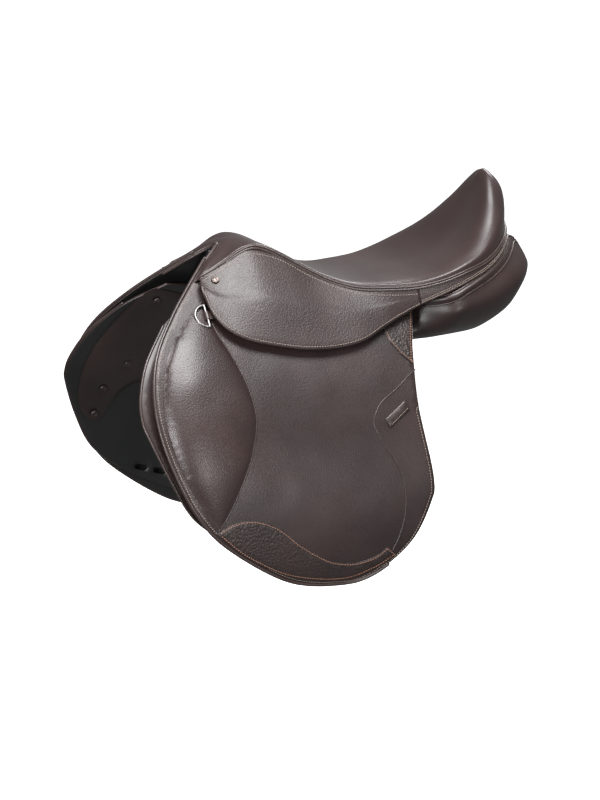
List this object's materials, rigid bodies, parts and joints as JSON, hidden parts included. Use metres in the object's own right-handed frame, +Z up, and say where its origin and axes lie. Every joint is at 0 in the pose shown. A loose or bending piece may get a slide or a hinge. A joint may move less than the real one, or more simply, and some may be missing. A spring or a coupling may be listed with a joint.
{
  "type": "english saddle",
  "caption": "English jumping saddle with forward-cut lifting flaps, knee rolls, recessed stirrup bars, front dees, girth billets and split panels.",
  "frame": {"origin": "on the symmetry plane at the middle of the panels' length, level with the inner edges of their bearing faces", "axes": "+X to the rear (cantle), -Y to the rider's left, +Z up"},
  "size_m": [0.612, 0.4416, 0.5055],
  "materials": {
    "seat_leather": "smooth waxed calf, glossy",
    "flap_leather": "fine pebble grain, satin",
    "grain_leather": "pebble grain, satin",
    "patch_leather": "coarse pebble grain",
    "roll_leather": "soft padded calf",
    "panel_leather": "smooth calf",
    "lining_leather": "black, semi-gloss",
    "strap_leather": "bridle leather",
    "nail_leather": "covered nail",
    "steel": "forged, satin",
    "chrome": "polished",
    "webbing": "woven",
    "foam": "foam",
    "tree_wood": "laminated beech"
  },
  "bodies": {
    "root": {"bar_rivets_left": "steel", "bar_rivets_right": "steel", "billet_web_left": "webbing", "billet_web_right": "webbing", "cantle_skirt": "grain_leather", "dee_chape_left": "strap_leather", "dee_chape_right": "strap_leather", "flap_top_left": "flap_leather", "flap_top_right": "flap_leather", "head_plate": "steel", "knee_roll_top_left": "roll_leather", "knee_roll_top_right": "roll_leather", "panel_left": "panel_leather", "panel_right": "panel_leather", "panel_wing_left": "panel_leather", "panel_wing_right": "panel_leather", "pommel_facing_left": "seat_leather", "pommel_facing_right": "seat_leather", "seat_cover": "seat_leather", "seat_foam": "foam", "seat_webbing": "webbing", "skirt_nail_left": "nail_leather", "skirt_nail_right": "nail_leather", "skirt_upper_left": "grain_leather", "skirt_upper_right": "grain_leather", "stirrup_bar_left": "steel", "stirrup_bar_right": "steel", "sweat_flap_left": "lining_leather", "sweat_flap_right": "lining_leather", "tree": "tree_wood", "wing_studs_left": "panel_leather", "wing_studs_right": "panel_leather"},
    "left_flap": {"flap_left": "flap_leather", "toe_patch_left": "patch_leather", "rear_patch_left": "patch_leather", "keeper_left": "flap_leather", "knee_roll_left": "roll_leather"},
    "left_skirt": {"skirt_left": "grain_leather"},
    "left_dee": {"dee_ring_left": "chrome"},
    "left_bar_catch": {"bar_catch_left": "steel"},
    "left_billet_front": {"billet_front_left": "strap_leather"},
    "left_billet_middle": {"billet_middle_left": "strap_leather"},
    "left_billet_rear": {"billet_rear_left": "strap_leather"},
    "right_flap": {"flap_right": "flap_leather", "toe_patch_right": "patch_leather", "rear_patch_right": "patch_leather", "keeper_right": "flap_leather", "knee_roll_right": "roll_leather"},
    "right_skirt": {"skirt_right": "grain_leather"},
    "right_dee": {"dee_ring_right": "chrome"},
    "right_bar_catch": {"bar_catch_right": "steel"},
    "right_billet_front": {"billet_front_right": "strap_leather"},
    "right_billet_middle": {"billet_middle_right": "strap_leather"},
    "right_billet_rear": {"billet_rear_right": "strap_leather"}
  },
  "joints": [
    {"name": "left_flap_lift", "type": "hinge", "parent": "root", "child": "left_flap", "pos_m": [-0.15, -0.14377, -0.017], "axis": [-1, 0, 0], "range_deg": [0, 75]},
    {"name": "left_skirt_lift", "type": "hinge", "parent": "root", "child": "left_skirt", "pos_m": [-0.1, -0.09623, 0.045], "axis": [-1, 0, 0], "range_deg": [0, 55]},
    {"name": "left_dee_swing", "type": "hinge", "parent": "root", "child": "left_dee", "pos_m": [-0.267, -0.09094, 0.036], "axis": [0, 0.6551, 0.7555], "range_deg": [0, 75]},
    {"name": "left_bar_catch_turn", "type": "hinge", "parent": "root", "child": "left_bar_catch", "pos_m": [-0.119, -0.09687, 0.038], "axis": [0, -0.7581, 0.6522], "range_deg": [0, 40]},
    {"name": "left_billet_middle_swing", "type": "hinge", "parent": "root", "child": "left_billet_middle", "pos_m": [-0.095, -0.12843, -0.035], "axis": [0, 1, 0], "range_deg": [-3.5, 3.5]},
    {"name": "left_billet_front_swing", "type": "hinge", "parent": "root", "child": "left_billet_front", "pos_m": [-0.14, -0.12843, -0.035], "axis": [0, 1, 0], "range_deg": [-3.5, 3.5]},
    {"name": "left_billet_rear_swing", "type": "hinge", "parent": "root", "child": "left_billet_rear", "pos_m": [-0.05, -0.12843, -0.035], "axis": [0, 1, 0], "range_deg": [-3.5, 3.5]},
    {"name": "right_flap_lift", "type": "hinge", "parent": "root", "child": "right_flap", "pos_m": [-0.15, 0.14377, -0.017], "axis": [1, 0, 0], "range_deg": [0, 75]},
    {"name": "right_skirt_lift", "type": "hinge", "parent": "root", "child": "right_skirt", "pos_m": [-0.1, 0.09623, 0.045], "axis": [1, 0, 0], "range_deg": [0, 55]},
    {"name": "right_dee_swing", "type": "hinge", "parent": "root", "child": "right_dee", "pos_m": [-0.267, 0.09094, 0.036], "axis": [0, 0.6551, -0.7555], "range_deg": [0, 75]},
    {"name": "right_bar_catch_turn", "type": "hinge", "parent": "root", "child": "right_bar_catch", "pos_m": [-0.119, 0.09687, 0.038], "axis": [0, -0.7581, -0.6522], "range_deg": [0, 40]},
    {"name": "right_billet_middle_swing", "type": "hinge", "parent": "root", "child": "right_billet_middle", "pos_m": [-0.095, 0.12843, -0.035], "axis": [0, 1, 0], "range_deg": [-3.5, 3.5]},
    {"name": "right_billet_front_swing", "type": "hinge", "parent": "root", "child": "right_billet_front", "pos_m": [-0.14, 0.12843, -0.035], "axis": [0, 1, 0], "range_deg": [-3.5, 3.5]},
    {"name": "right_billet_rear_swing", "type": "hinge", "parent": "root", "child": "right_billet_rear", "pos_m": [-0.05, 0.12843, -0.035], "axis": [0, 1, 0], "range_deg": [-3.5, 3.5]}
  ],
  "couplings": [
    {"joint": "left_billet_front_swing", "follows": "left_billet_middle_swing", "ratio": 1},
    {"joint": "left_billet_rear_swing", "follows": "left_billet_middle_swing", "ratio": 1},
    {"joint": "right_billet_front_swing", "follows": "right_billet_middle_swing", "ratio": 1},
    {"joint": "right_billet_rear_swing", "follows": "right_billet_middle_swing", "ratio": 1}
  ]
}
